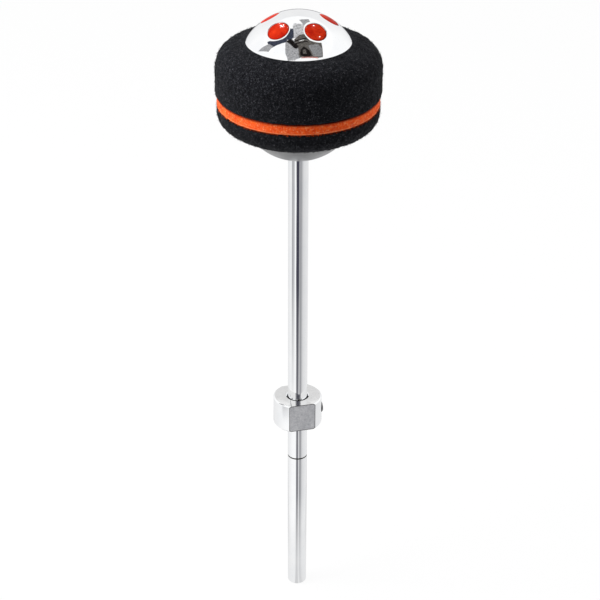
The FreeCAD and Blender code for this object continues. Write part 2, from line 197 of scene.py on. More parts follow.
# Floor, with the soft shadow that metal sees under the head. Tones go by the direction round the shaft:
# 0 and 1 are behind, 0.25 is to the left, 0.5 to the front and 0.75 to the right.
WHITE = (1.0, 1.0, 1.0)
FLOOR_SIZE = 6.0
FLOOR_DROP = 0.0001
FLOOR_PALE = (0.9, 0.9, 0.9, 1.0)
FLOOR_GLOW_SHARE = 0.94
SHADOW_DISTANCE = 0.07
SHADOW_NARROWING = 2.4
SHADOW_REACH = (0.02, 0.13)
SHADOW_STRENGTH = 0.6
SHADOW_TONE = (0.1, 0.1, 0.1)
# A painted pool of light round the shaft's lower end, which metal sees on the floor
FOOT_LIGHT_REACH = (0.02, 0.07)
FOOT_LIGHT_STRENGTH = 0.6
FAR_REACH = (0.13, 0.28)
BOUNCE_REACH = (0.22, 0.45)
BOUNCE_TONE = (1.3, 1.3, 1.3)
WAVER = 0.005
WAVER_GRAIN = 14.0
DARK_BLUE = 0.025
FLOOR_NEAR = (
    (0.0, 0.45), (0.03, 0.48), (0.05, 0.86), (0.2, 0.92), (0.33, 1.03), (0.452, 1.03), (0.464, 0.22),
    (0.52, 0.22), (0.532, 0.8), (0.552, 0.8), (0.565, 0.33), (0.6, 0.34), (0.62, 0.44), (0.646, 0.68),
    (0.7, 0.78), (0.8, 0.84), (0.95, 0.86), (0.97, 0.48), (1.0, 0.45),
)
FLOOR_FAR = (
    (0.0, 0.4), (0.025, 0.44), (0.045, 0.85), (0.15, 0.86), (0.24, 0.93), (0.285, 0.9), (0.305, 0.4),
    (0.33, 0.42), (0.355, 0.55), (0.39, 0.66), (0.405, 1.05), (0.438, 1.04), (0.45, 0.1), (0.475, 0.055),
    (0.528, 0.055), (0.54, 0.42), (0.585, 0.34), (0.615, 0.42), (0.65, 0.64), (0.69, 0.74), (0.8, 0.8),
    (0.955, 0.85), (0.975, 0.44), (1.0, 0.4),
)

# Tent: what metal sees of it, and the light that it gives. Each fades into a plain roof.
TENT = (
    (0.0, 0.88), (0.07, 0.94), (0.14, 1.04), (0.28, 1.06), (0.43, 1.06), (0.44, 0.29), (0.475, 0.205),
    (0.485, 0.085), (0.535, 0.075), (0.56, 0.195), (0.6, 0.24), (0.61, 1.02), (0.72, 1.06), (0.86, 1.04),
    (0.93, 0.94), (1.0, 0.88),
)
TENT_ROOF = (0.56, 0.6)
TENT_ROOF_TONE = (1.08, 1.08, 1.08)
TENT_LIGHT = ((0.0, 0.64), (0.34, 0.64), (0.41, 0.06), (0.61, 0.06), (0.69, 0.5), (1.0, 0.64))
LIGHT_ROOF = (0.8, 0.95)
LIGHT_ROOF_TONE = (0.64, 0.64, 0.64)
MIRROR_RAYS = ("Is Glossy Ray", "Is Transmission Ray")
CAMERA_RAYS = ("Is Camera Ray",)

# Cards and small lamps over the head. A corner is so far to the camera's right and so far towards the
# camera, for one that hangs a metre above the head. A card's own height comes before its corners.
HEAD = Vector((0, 0, 0.24))
CARD_GRAIN = 22.0
CARD_CONTRAST = (0.45, 1.45)
NAVY = (0.05, 0.058, 0.085)
BROWN = (0.125, 0.115, 0.105)
BLACK = (0.012, 0.01, 0.01)
GREY = (0.27, 0.27, 0.275)
SILVER = (0.4, 0.4, 0.41)
PALE = (0.58, 0.58, 0.59)
ROSE = (0.5, 0.22, 0.19)
CARDS = (
    ("pale_panel", PALE, 1.0, (-0.12, -0.6), (0.14, -0.53), (0.2, -0.05), (-0.2, 0.12)),
    ("silver_panel", SILVER, 0.99, (0.0, -0.85), (0.25, -1.05), (0.28, -0.82), (0.12, -0.48)),
    ("silver_flag", SILVER, 0.98, (-0.5, 0.66), (-0.4, 0.2), (-0.2, 0.1), (0.1, 0.4), (0.06, 0.95),
     (-0.49, 1.05)),
    ("navy_strip", NAVY, 0.97, (-0.23, -0.36), (-0.13, -0.29), (-0.13, 0.06), (-0.25, 0.14), (-0.42, 0.06)),
    ("navy_strip_end", NAVY, 0.96, (-1.12, -0.28), (-0.77, -0.13), (-0.28, -0.05), (-0.36, 0.19),
     (-1.1, 0.16)),
    ("silver_tail", SILVER, 0.95, (-1.6, -0.3), (-1.06, -0.1), (-0.9, 0.13), (-1.31, 0.24),
     (-2.25, -0.46)),
    ("brown_flag", BROWN, 0.94, (-0.13, 0.14), (0.02, -0.04), (0.19, -0.09), (0.35, 0.06), (0.71, 0.03),
     (1.13, 0.68), (0.79, 0.86), (0.04, 0.92), (-0.02, 0.53)),
    ("black_bar", BLACK, 0.92, (-0.38, 0.14), (-0.2, 0.11), (0.0, 0.42), (-0.1, 0.52)),
    ("black_flag", BLACK, 0.91, (0.06, 0.53), (0.16, 0.39), (0.38, 0.53), (0.56, 0.79), (0.32, 0.88),
     (0.07, 0.81)),
    ("brown_patch", BROWN, 0.905, (0.14, 0.52), (0.22, 0.5), (0.3, 0.7), (0.16, 0.72)),
    ("grey_box", GREY, 0.9, (0.29, 0.34), (0.6, 0.16), (0.81, 0.26), (1.05, 0.65), (0.63, 0.78)),
    ("black_line", BLACK, 0.89, (-0.13, 0.19), (0.3, 0.01), (0.31, 0.05), (-0.13, 0.24)),
    ("black_line_low", BLACK, 0.88, (-0.09, 0.28), (0.26, 0.16), (0.27, 0.2), (-0.08, 0.32)),
    ("white_line", WHITE, 0.87, (0.0, 0.19), (0.14, 0.14), (0.14, 0.16), (0.0, 0.21)),
    ("rose_edge", ROSE, 0.86, (0.1, 0.9), (0.85, 0.77), (0.9, 0.84), (0.11, 0.97)),
)
LAMP_LEVEL = 1.0
LAMP_STRENGTH = 1300.0
LAMPS = (
    ("lamp_strip_left", (-0.55, -1.14), (-0.5, -1.06), (-0.45, -0.57), (-0.49, -0.58)),
    ("lamp_strip_middle", (-0.42, -0.96), (-0.37, -0.83), (-0.38, -0.49), (-0.41, -0.49)),
    ("lamp_strip_right", (0.31, -0.69), (0.38, -0.79), (0.41, -0.58), (0.33, -0.5)),
    ("lamp_small", (0.56, -0.15), (0.62, -0.19), (0.63, -0.12), (0.57, -0.08)),
)

# Soft boxes: place, size and power
SOFT_BOXES = (
    ("soft_box_above", (-0.3, 0.05, 1.05), 0.7, 6.0),
    ("soft_box_left", (-0.85, 0.05, 0.6), 0.5, 7.5),
    ("soft_box_right", (0.8, 0.1, 0.45), 0.5, 1.4),
)


# Node helpers, with the numbers of a mix node's colour sockets
MIX_INPUTS = (6, 7)
MIX_OUTPUT = 2


def feed(socket, value):
    """Give a socket a value, or link another socket to it."""
    if isinstance(value, bpy.types.NodeSocket):
        socket.id_data.links.new(value, socket)
    else:
        socket.default_value = value


def add_node(tree, kind, *values, **settings):
    """A node with some settings, its first sockets fed in order."""
    made = tree.nodes.new(kind)
    for name, value in settings.items():
        setattr(made, name, value)
    for socket, value in zip(made.inputs, values):
        feed(socket, value)
    return made


def follow(source, kind, *values, **settings):
    """A node in a socket's own tree, fed first by that socket."""
    return add_node(source.id_data, kind, source, *values, **settings)


def set_inputs(made, **values):
    """Feed a node's sockets by name, with underscores for spaces."""
    for name, value in values.items():
        feed(made.inputs[name.replace("_", " ")], value)
    return made


def new_material(name, **values):
    """A node material with values on its shader's own sockets."""
    material = bpy.data.materials.new(name)
    material.use_nodes = True
    shader = material.node_tree.nodes["Principled BSDF"]
    set_inputs(shader, **values)
    return material, material.node_tree, shader


def own_place(tree, stretch=(1, 1, 1)):
    """The piece's own coordinates, stretched along its axes."""
    place = add_node(tree, "ShaderNodeTexCoord").outputs["Object"]
    mapping = follow(place, "ShaderNodeMapping")
    return set_inputs(mapping, Scale=stretch).outputs["Vector"]


def parts_of(place):
    """The X, Y and Z sockets of a place."""
    return follow(place, "ShaderNodeSeparateXYZ").outputs


def length_of(place):
    return follow(place, "ShaderNodeVectorMath", operation="LENGTH").outputs["Value"]


def maths(operation, first, second):
    return follow(first, "ShaderNodeMath", second, operation=operation).outputs["Value"]


def grain(place, scale, detail=2.0, roughness=0.5, distortion=0.0):
    """Noise, in cycles per metre."""
    made = follow(place, "ShaderNodeTexNoise")
    set_inputs(made, Scale=scale, Detail=detail, Roughness=roughness, Distortion=distortion)
    return made.outputs["Fac"]


def colour_ramp(source, *stops):
    """A ramp through (position, red, green, blue) stops."""
    made = follow(source, "ShaderNodeValToRGB")
    elements = made.color_ramp.elements
    while len(elements) < len(stops):
        elements.new(0.5)
    for element, (position, *colour) in zip(elements, stops):
        element.position = position
        element.color = (*colour, 1.0)
    return made.outputs["Color"]


def span(source, low, high, start=0.3, end=0.7):
    """The source's range from start to end, mapped to low and high."""
    return follow(source, "ShaderNodeMapRange", start, end, low, high).outputs["Result"]


def mixed(blend, factor, first, second):
    """Two colours mixed. Each is a tuple or a socket, and the factor is a socket."""
    made = follow(factor, "ShaderNodeMix", data_type="RGBA", blend_type=blend)
    for index, colour in zip(MIX_INPUTS, (first, second)):
        feed(made.inputs[index], (*colour, 1.0) if isinstance(colour, tuple) else colour)
    return made.outputs[MIX_OUTPUT]


def add_bump(shader, *layers):
    """Bumps one over the other, each from (source, strength, height)."""
    before = None
    for source, strength, height in layers:
        made = add_node(shader.id_data, "ShaderNodeBump")
        set_inputs(made, Height=source, Strength=strength, Distance=height)
        if before:
            set_inputs(made, Normal=before)
        before = made.outputs["Normal"]
    set_inputs(shader, Normal=before)


# Finishes

def bright_chrome(name, stretch):
    """Polished plate, with faint polishing lines along the way that it is stretched."""
    material, tree, shader = new_material(name, Metallic=1.0)
    cloud = grain(own_place(tree), 160.0, 3.0)
    lines = grain(own_place(tree, stretch), 900.0, 3.0, 0.6)
    tint = colour_ramp(cloud, (0.3, 0.9, 0.91, 0.925), (0.7, 0.94, 0.945, 0.95))
    set_inputs(shader, Base_Color=tint, Roughness=span(lines, 0.025, 0.075))
    add_bump(shader, (cloud, 0.02, 0.0002), (lines, 0.012, 0.00005))
    return material


def satin_plate(name, stretch, pale, dark, smooth, rough, shade_heights=None):
    """Plate left dull by the cutter or the press, with tool lines. Painted shade may darken it between two
    heights.
    """
    material, tree, shader = new_material(name, Metallic=1.0)
    place = own_place(tree)
    cloud = grain(place, 650.0, 5.0, 0.75)
    lines = grain(own_place(tree, stretch), 2600.0, 3.0, 0.65)
    tint = colour_ramp(cloud, (0.3, *dark), (0.7, *pale))
    if shade_heights:
        # Painted shade: the tint darkens towards the second height
        share = span(parts_of(place)["Z"], 0.0, 1.0, *shade_heights)
        tint = mixed("MULTIPLY", share, tint, (0.6, 0.6, 0.6))
    set_inputs(shader, Base_Color=tint, Roughness=span(lines, smooth, rough))
    add_bump(shader, (cloud, 0.08, 0.0001), (lines, 0.12, 0.00004))
    return material


def dark_metal(name, tone):
    """Blackened steel with a little wear. In the collar's bore it is painted shade."""
    material, tree, shader = new_material(name, Metallic=0.85)
    cloud = grain(own_place(tree), 900.0, 4.0, 0.6)
    worn = tuple(min(1.0, part * 3.0) for part in tone)
    tint = colour_ramp(cloud, (0.45, *tone), (0.8, *worn))
    set_inputs(shader, Base_Color=tint, Roughness=span(cloud, 0.28, 0.5))
    add_bump(shader, (cloud, 0.1, 0.00005))
    return material


def zinc_steel():
    material, tree, shader = new_material("zinc_steel", Metallic=1.0)
    cloud = grain(own_place(tree), 700.0, 3.0)
    tint = colour_ramp(cloud, (0.35, 0.5, 0.51, 0.53), (0.7, 0.66, 0.67, 0.69))
    set_inputs(shader, Base_Color=tint, Roughness=span(cloud, 0.25, 0.42))
    return material


def moulded_plastic(name, dark, pale, roughness, gloss):
    """Plastic with a slightly uneven skin."""
    material, tree, shader = new_material(name, Specular_IOR_Level=gloss)
    cloud = grain(own_place(tree), 260.0, 3.0)
    tint = colour_ramp(cloud, (0.3, *dark), (0.7, *pale))
    set_inputs(shader, Base_Color=tint, Roughness=span(cloud, roughness, roughness * 1.8))
    add_bump(shader, (cloud, 0.05, 0.0003))
    return material


def pressed_felt(name, dark, middle, pale, sheen, painted_bands=()):
    """Felt: matted tufts with short fibres lying every way over them.

    A painted band of shade or highlight is a colour, its strength, and the heights at which it begins and
    is full.
    """
    material, tree, shader = new_material(
        name, Roughness=0.95, Specular_IOR_Level=0.05, Sheen_Weight=sheen, Sheen_Roughness=0.6)
    place = own_place(tree)
    tufts = grain(place, 700.0, 4.0, 0.65, 0.6)
    fibres = grain(place, 1700.0, 4.0, 0.75, 1.0)
    ground = colour_ramp(tufts, (0.32, *dark), (0.68, *middle))
    flecks = span(fibres, 0.0, 1.0, 0.54, 0.72)
    colour = mixed("MIX", flecks, ground, pale)
    # Each band paints shade or a highlight into the colour between two heights
    for tone, strength, begin, full in painted_bands:
        share = span(parts_of(place)["Z"], 0.0, strength, begin, full)
        colour = mixed("MIX", share, colour, tone)
    set_inputs(shader, Base_Color=colour)
    add_bump(shader, (tufts, 0.55, 0.0003), (fibres, 0.5, 0.00012))
    return material


def loose_fibre(name, colour):
    """A loose fibre's finish, dimmer in patches."""
    material, tree, shader = new_material(name, Roughness=0.85, Specular_IOR_Level=0.08)
    along = grain(own_place(tree), 1500.0, 1.0)
    dim = tuple(part * 0.6 for part in colour)
    set_inputs(shader, Base_Color=colour_ramp(along, (0.35, *dim), (0.65, *colour)))
    return material


# Mesh helpers

def arc(across, up, radius, start, end, steps):
    """Points (radius, height) of an arc, its angles in degrees from the outward direction."""
    points = []
    for step in range(steps + 1):
        angle = radians(start + (end - start) * step / steps)
        points.append((across + radius * cos(angle), up + radius * sin(angle)))
    return points


def turned(profile, sides, closed=False):
    """A surface of revolution about Z. A closed profile is a ring's whole section."""
    bm = bmesh.new()
    verts = [bm.verts.new((radius, 0.0, height)) for radius, height in profile]
    pairs = list(zip(verts, verts[1:]))
    if closed:
        pairs.append((verts[-1], verts[0]))
    edges = [bm.edges.new(pair) for pair in pairs]
    bmesh.ops.spin(bm, geom=verts + edges, cent=(0, 0, 0), axis=UP, angle=tau, steps=sides,
                   use_merge=True)
    bmesh.ops.remove_doubles(bm, verts=bm.verts, dist=WELD)
    face_outwards(bm)
    return bm


def face_outwards(bm):
    bmesh.ops.recalc_face_normals(bm, faces=bm.faces)


def everything(bm):
    return bm.verts[:] + bm.edges[:] + bm.faces[:]


def only(kind, items):
    return [item for item in items if isinstance(item, kind)]


def mesh_of(name, bm):
    """A mesh from a bmesh that is done with."""
    mesh = bpy.data.meshes.new(name)
    bm.to_mesh(mesh)
    bm.free()
    return mesh


def new_object(name, data):
    made = bpy.data.objects.new(name, data)
    bpy.context.scene.collection.objects.link(made)
    return made


def made_real(drawn):
    """The mesh that an object shows. The object itself is removed."""
    shown = drawn.evaluated_get(bpy.context.evaluated_depsgraph_get())
    mesh = bpy.data.meshes.new_from_object(shown)
    bpy.data.objects.remove(drawn)
    return mesh


def add_piece(name, bm, materials, body, node, sharp=SHARP_ANGLE):
    """A piece that rides on a body and stands for a CAD node."""
    mesh = mesh_of(name, bm)
    mesh.polygons.foreach_set("use_smooth", [True] * len(mesh.polygons))
    mesh.set_sharp_from_angle(angle=sharp)
    for material in materials:
        mesh.materials.append(material)
    piece = new_object(name, mesh)
    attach(piece, body)
    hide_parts(node)
    return piece


# Shaft

def make_shaft():
    low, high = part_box("shaft")
    radius = high.x
    ease = SHAFT_END_ROUND
    half_mark = MARK_WIDTH / 2
    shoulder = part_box("lower_clamp_washer")[0].z
    profile = [(0.0, low.z)]
    profile += arc(radius - ease, low.z + ease, ease, -90, 0, SHAFT_END_STEPS)
    profile += [
        (radius, MARK_HEIGHT - half_mark),
        (radius - MARK_DEPTH, MARK_HEIGHT - half_mark / 2),
        (radius - MARK_DEPTH, MARK_HEIGHT + half_mark / 2),
        (radius, MARK_HEIGHT + half_mark),
        (radius, shoulder),
        (SPIGOT_RADIUS, shoulder),
        (SPIGOT_RADIUS, high.z - SPIGOT_CHAMFER),
        (SPIGOT_RADIUS - SPIGOT_CHAMFER, high.z),
        (0.0, high.z),
    ]
    bm = turned(profile, SHAFT_SIDES)
    for face in bm.faces:
        middle = face.calc_center_median()
        face.material_index = int(abs(middle.z - MARK_HEIGHT) < half_mark)
    chrome = bright_chrome("shaft_chrome", (1.0, 1.0, 0.02))
    # The mark's groove is dark
    groove_tone = dark_metal("mark_groove", (0.05, 0.045, 0.04))
    add_piece("plated_shaft", bm, [chrome, groove_tone], "beater", "shaft")


# Domes

class Dome:
    """A pressed cap: its rim's height, and which way its crown points."""

    def __init__(self, rim, up):
        self.rim = rim
        self.up = up
        self.outer = (DOME_RADIUS ** 2 + DOME_HEIGHT ** 2) / (2 * DOME_HEIGHT)
        self.inner = self.outer - DOME_WALL
        self.centre = DOME_HEIGHT - self.outer
        self.middle = Vector((0, 0, self.at(self.centre)))
        self.lip_corner = sqrt(self.inner ** 2 - (LIP_THICKNESS - self.centre) ** 2)
        self.hole_lean = asin(HOLE_CIRCLE_RADIUS / self.outer)

    def at(self, height):
        """A height above the rim, as a place on Z."""
        return self.rim + self.up * height

    def crown(self, sphere, start, end, steps):
        """Points of one of its spheres between two distances from the axis."""
        first = degrees(acos(start / sphere))
        last = degrees(acos(end / sphere))
        return [(x, self.at(y)) for x, y in arc(0.0, self.centre, sphere, first, last, steps)]

    def lip(self):
        """The rim's edge and the lip rolled in under it, from the outside in."""
        inside = self.lip_corner - LIP_WIDTH
        return [(DOME_RADIUS - RIM_ROUND, self.at(0.0)), (inside, self.at(0.0)),
                (inside, self.at(LIP_THICKNESS))]

    def hole_place(self):
        """The first hole's place: at the middle of the sphere, with Z along the hole's axis."""
        return Matrix.Translation(self.middle) @ Matrix.Rotation(self.hole_lean, 4, "Y")


def make_plain_dome():
    """The lower dome, with a bore for the shaft."""
    dome = Dome(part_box("lower_dome")[1].z, -1)
    profile = dome.lip()[::-1]
    profile += dome.crown(dome.outer, DOME_RADIUS - RIM_EASE, DOME_BORE, CROWN_STEPS)
    profile += dome.crown(dome.inner, DOME_BORE, dome.lip_corner, CROWN_STEPS)
    bm = turned(profile, DOME_SIDES, closed=True)
    # Painted shade darkens the dome towards its rim, under the felt
    shade_heights = [dome.at(height) for height in RIM_SHADE_HEIGHTS]
    finish = satin_plate("satin_plate", (0.15, 0.15, 1.0), (0.46, 0.46, 0.465), (0.4, 0.4, 0.405),
                         0.3, 0.42, shade_heights)
    add_piece("plain_dome", bm, [finish], "beater", "lower_dome")


def around(verts, centre, axis, across, along):
    """Move a loop's verts to one distance from an axis and one distance along it."""
    for vert in verts:
        arm = vert.co - centre
        arm -= axis * arm.dot(axis)
        vert.co = centre + arm.normalized() * across + axis * along


def extruded(bm, edges):
    """Extrude a loop of edges. Returns the new loop's verts and edges."""
    made = bmesh.ops.extrude_edge_only(bm, edges=edges)["geom"]
    verts = only(BMVert, made)
    fresh = set(verts)
    return verts, [edge for edge in only(BMEdge, made) if fresh.issuperset(edge.verts)]


def stretch_to_border(verts, centre, axis, sphere, rim_polar):
    """Push a loop's verts over the sphere, away from the hole, to the borders of its sector."""
    half_sector = pi / HOLE_COUNT

    def inside(point):
        arm = point - centre
        return abs(atan2(arm.y, arm.x)) < half_sector and CAP_POLAR < arm.angle(UP) < rim_polar

    for vert in verts:
        arm = vert.co - centre
        away = (arm - axis * arm.dot(axis)).normalized()
        near, far = arm.angle(axis), pi / 2
        for _ in range(BORDER_HALVINGS):
            middle = (near + far) / 2
            point = centre + (axis * cos(middle) + away * sin(middle)) * sphere
            near, far = (middle, far) if inside(point) else (near, middle)
        vert.co = centre + (axis * cos(near) + away * sin(near)) * sphere
    for polar in (CAP_POLAR, rim_polar):
        for turn in (-half_sector, half_sector):
            corner = Vector((sin(polar) * cos(turn), sin(polar) * sin(turn), cos(polar)))
            corner = centre + corner * sphere
            min(verts, key=lambda vert: (vert.co - corner).length).co = corner


def sheet_from(bm, edges, centre, axis, sphere, rim_polar):
    """A sheet of the sphere from a hole's loop to the borders of its sector, in even rings."""
    loop = {vert for edge in edges for vert in edge.verts}
    verts, _ = extruded(bm, edges)
    stretch_to_border(verts, centre, axis, sphere, rim_polar)
    links = [edge for vert in loop for edge in vert.link_edges if edge.other_vert(vert) in set(verts)]
    made = bmesh.ops.subdivide_edges(bm, edges=links, cuts=SHEET_RINGS, use_grid_fill=True)
    for vert in only(BMVert, made["geom_inner"]):
        vert.co = centre + (vert.co - centre).normalized() * sphere


def border_loop(bm, sphere, polar, centre):
    """The open edges that lie on one sphere at one polar angle."""
    def on_border(vert):
        arm = vert.co - centre
        return abs(arm.angle(UP) - polar) < ANGLE_WELD and abs(arm.length - sphere) < WELD

    return [edge for edge in bm.edges if edge.is_boundary and all(map(on_border, edge.verts))]


def close_cap(bm, edges, sphere, centre):
    """Close the round opening at the crown in rings that shrink to a point."""
    for share in CAP_RING_SHARES:
        verts, edges = extruded(bm, edges)
        polar = CAP_POLAR * share
        around(verts, centre, UP, sphere * sin(polar), sphere * cos(polar))
    verts, _ = extruded(bm, edges)
    bmesh.ops.pointmerge(bm, verts=verts, merge_co=centre + UP * sphere)


def repeat_per_hole(bm):
    """Repeat what belongs to the first hole round the dome."""
    steps = HOLE_COUNT - 1
    bmesh.ops.spin(bm, geom=everything(bm), cent=(0, 0, 0), axis=UP, angle=tau * steps / HOLE_COUNT,
                   steps=steps, use_duplicate=True)


def hole_section(dome):
    """A hole's rounded edge and wall, as distances from its axis and along it."""
    mouth = HOLE_RADIUS + HOLE_ROUND
    height = sqrt((dome.outer - HOLE_ROUND) ** 2 - mouth ** 2)
    start = degrees(atan2(height, mouth))
    section = arc(mouth, height, HOLE_ROUND, start, 180, HOLE_ROUND_STEPS)
    return section + [(HOLE_RADIUS, sqrt(dome.inner ** 2 - HOLE_RADIUS ** 2))]


def pierced_sector(dome, outer_rim, inner_rim):
    """One sector of the dome: its outer and inner sheets, and the hole that joins them."""
    bm = bmesh.new()
    bmesh.ops.create_circle(bm, segments=HOLE_SIDES, radius=HOLE_RADIUS, matrix=dome.hole_place())
    edges = list(bm.edges)
    axis = Vector((sin(dome.hole_lean), 0, cos(dome.hole_lean)))
    mouth, *wall = hole_section(dome)
    around(bm.verts, dome.middle, axis, *mouth)
    sheet_from(bm, edges, dome.middle, axis, dome.outer, outer_rim)
    for across, along in wall:
        verts, edges = extruded(bm, edges)
        around(verts, dome.middle, axis, across, along)
    sheet_from(bm, edges, dome.middle, axis, dome.inner, inner_rim)
    return bm


def make_pierced_dome():
    """The upper dome: one sector is repeated, and then the crown and the rim are closed."""
    dome = Dome(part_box("upper_dome")[0].z, 1)
    centre = dome.middle
    outer_rim = acos(-dome.centre / dome.outer)
    inner_rim = acos((LIP_THICKNESS - dome.centre) / dome.inner)
    bm = pierced_sector(dome, outer_rim, inner_rim)
    repeat_per_hole(bm)
    bmesh.ops.remove_doubles(bm, verts=bm.verts, dist=WELD)
    for sphere in (dome.outer, dome.inner):
        close_cap(bm, border_loop(bm, sphere, CAP_POLAR, centre), sphere, centre)
    edges = border_loop(bm, dome.outer, outer_rim, centre)
    for across, up in dome.lip():
        verts, edges = extruded(bm, edges)
        around(verts, Vector((0, 0, 0)), UP, across, up)
    bmesh.ops.bridge_loops(bm, edges=edges + border_loop(bm, dome.inner, inner_rim, centre))
    bmesh.ops.remove_doubles(bm, verts=bm.verts, dist=WELD)
    face_outwards(bm)
    finish = bright_chrome("dome_chrome", (1.0, 1.0, 1.0))
    add_piece("pierced_dome", bm, [finish], "beater", "upper_dome")


# Liner

def make_liner(red):
    """The red moulding under the pierced dome."""
    dome = Dome(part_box("upper_dome")[0].z, 1)
    skin = dome.inner - LINER_CLEARANCE
    base = dome.lip_corner - LIP_WIDTH - LINER_CLEARANCE
    hook = LIP_THICKNESS + LINER_CLEARANCE
    hook_radius = sqrt(skin ** 2 - (hook - dome.centre) ** 2)
    bore = SPIGOT_RADIUS + SPIGOT_CLEARANCE
    floor = POCKET_FLOOR - BOSS_DEPTH
    profile = [
        (bore, dome.at(floor)),
        (bore, dome.at(-BOSS_DEPTH)),
        (BOSS_RADIUS, dome.at(-BOSS_DEPTH)),
        (BOSS_RADIUS, dome.at(0.0)),
        (base, dome.at(0.0)),
        (base, dome.at(hook)),
    ]
    profile += dome.crown(skin, hook_radius, POCKET_RADIUS, LINER_STEPS)
    profile.append((POCKET_RADIUS, dome.at(floor)))
    bm = turned(profile, DOME_SIDES, closed=True)
    add_pads(bm, dome, skin)
    return add_piece("red_liner", bm, [red], "beater", "upper_hub")


def add_pads(bm, dome, skin):
    """The liner's round-edged pads, which stand in the dome's holes."""
    top = dome.outer - PAD_RECESS
    radius = HOLE_RADIUS - PAD_CLEARANCE
    across = radius - PAD_ROUND
    up = sqrt((top - PAD_ROUND) ** 2 - across ** 2)
    edge = degrees(atan2(up, across))
    profile = [(0.0, skin - PAD_ROOT), (radius, skin - PAD_ROOT)]
    profile += arc(across, up, PAD_ROUND, 0, edge, PAD_ROUND_STEPS)
    profile += arc(0.0, 0.0, top, edge, 90, PAD_TOP_STEPS)[1:]
    pads = turned(profile, HOLE_SIDES)
    bmesh.ops.transform(pads, matrix=dome.hole_place(), verts=pads.verts)
    repeat_per_hole(pads)
    face_outwards(pads)
    bm.from_mesh(mesh_of("pads", pads))


# Weight collar

def collar_section(low, high):
    """The collar's section before its flats are milled, with a chamfer at each edge."""
    radius = high.x
    rim = radius - COLLAR_CHAMFER
    return [
        (COLLAR_MOUTH, low.z),
        (rim, low.z),
        (radius, low.z + COLLAR_CHAMFER),
        (radius, high.z - COLLAR_CHAMFER),
        (rim, high.z),
        (COLLAR_MOUTH, high.z),
        (COLLAR_THROAT, high.z - COLLAR_MOUTH + COLLAR_THROAT),
        (COLLAR_BORE, high.z - COLLAR_BORE_CHAMFER),
        (COLLAR_BORE, low.z + COLLAR_BORE_CHAMFER),
        (COLLAR_THROAT, low.z + COLLAR_MOUTH - COLLAR_THROAT),
    ]


def mill_flats(bm, flat):
    """Cut the two flats, each with a narrow edge of its own finish, a painted dark line of shade."""
    for side in (1, -1):
        made = bmesh.ops.bisect_plane(bm, geom=everything(bm), dist=WELD, plane_co=(0, side * flat, 0),
                                      plane_no=(0, side, 0), clear_outer=True)
        rim = only(BMEdge, made["geom_cut"])
        face = bmesh.ops.contextual_create(bm, geom=rim)["faces"][0]
        face.material_index = ON_FLAT
        for edge_face in bmesh.ops.inset_region(bm, faces=[face], thickness=FLAT_EDGE)["faces"]:
            edge_face.material_index = ON_FLAT_EDGE


def mark_bore_and_ends(bm):
    bm.normal_update()
    for face in bm.faces:
        if face.calc_center_median().xy.length < COLLAR_THROAT:
            face.material_index = IN_BORE
        elif abs(face.normal.z) > LEVEL_NORMAL:
            face.material_index = ON_END
    face_outwards(bm)


def drill_tapping(bm, reach):
    """Cut the set screw's tapped hole through the wall on the +X side."""
    low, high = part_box("collar_set_screw")
    radius = (high.z - low.z) / 2 + TAPPING_CLEARANCE
    place = Matrix.Translation((reach, 0, (low.z + high.z) / 2)) @ Matrix.Rotation(pi / 2, 4, "Y")
    drill = bmesh.new()
    bmesh.ops.create_cone(drill, cap_ends=True, segments=SCREW_SIDES, radius1=radius, radius2=radius,
                          depth=reach * 2, matrix=place)
    tool = new_object("tool", mesh_of("tool", drill))
    work = new_object("work", bpy.data.meshes.new("work"))
    bm.to_mesh(work.data)
    cut = work.modifiers.new("tapping", "BOOLEAN")
    cut.operation = "DIFFERENCE"
    cut.solver = "EXACT"
    cut.object = tool
    bm.clear()
    bm.from_mesh(made_real(work))
    bpy.data.objects.remove(tool)


def round_outer_edges(bm):
    corners = [edge for edge in bm.edges if edge.is_manifold and edge.calc_face_angle() > SHARP_ANGLE
               and max(vert.co.xy.length for vert in edge.verts) > COLLAR_MOUTH + WELD]
    bmesh.ops.bevel(bm, geom=corners, offset=COLLAR_EDGE_ROUND, affect="EDGES",
                    segments=COLLAR_EDGE_STEPS, profile=0.5, material=-1, clamp_overlap=True)


def make_collar():
    low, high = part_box("weight_collar")
    bm = turned(collar_section(low, high), COLLAR_SIDES, closed=True)
    mill_flats(bm, high.y)
    mark_bore_and_ends(bm)
    drill_tapping(bm, high.x)
    round_outer_edges(bm)
    finishes = [
        bright_chrome("collar_chrome", (1.0, 1.0, 0.05)),
        satin_plate("milled_plate", (1.0, 1.0, 0.06), WHITE, (0.62, 0.63, 0.65), 0.3, 0.46),
        # Painted shade: a dark line round each flat
        satin_plate("flat_edge_shade", (1.0, 1.0, 0.06), (0.2, 0.19, 0.19), (0.12, 0.12, 0.12), 0.3, 0.46),
        # Painted shade: the bore and its chamfers are dark
        dark_metal("bore_shade", (0.03, 0.03, 0.032)),
        satin_plate("faced_plate", (0.2, 0.2, 1.0), (0.82, 0.82, 0.82), (0.72, 0.72, 0.72), 0.05, 0.11),
    ]
    add_piece("weight_ring", bm, finishes, "collar", "weight_collar", sharp=CRISP_ANGLE)


# Set screw

def sink_socket(bm, mouth, length):
    """Sink a hexagon socket into the screw's end, with a lead-in at its mouth."""
    sixth = pi / 3
    steps = ((SOCKET_FLATS + SOCKET_LEAD, length), (SOCKET_FLATS, length - SOCKET_LEAD),
             (SOCKET_FLATS, length - SOCKET_DEPTH))
    for flats, height in steps:
        verts, mouth = extruded(bm, mouth)
        for vert in verts:
            angle = atan2(vert.co.y, vert.co.x)
            reach = flats / 2 / cos((angle % sixth) - sixth / 2)
            vert.co = (reach * cos(angle), reach * sin(angle), height)
    bmesh.ops.contextual_create(bm, geom=mouth)


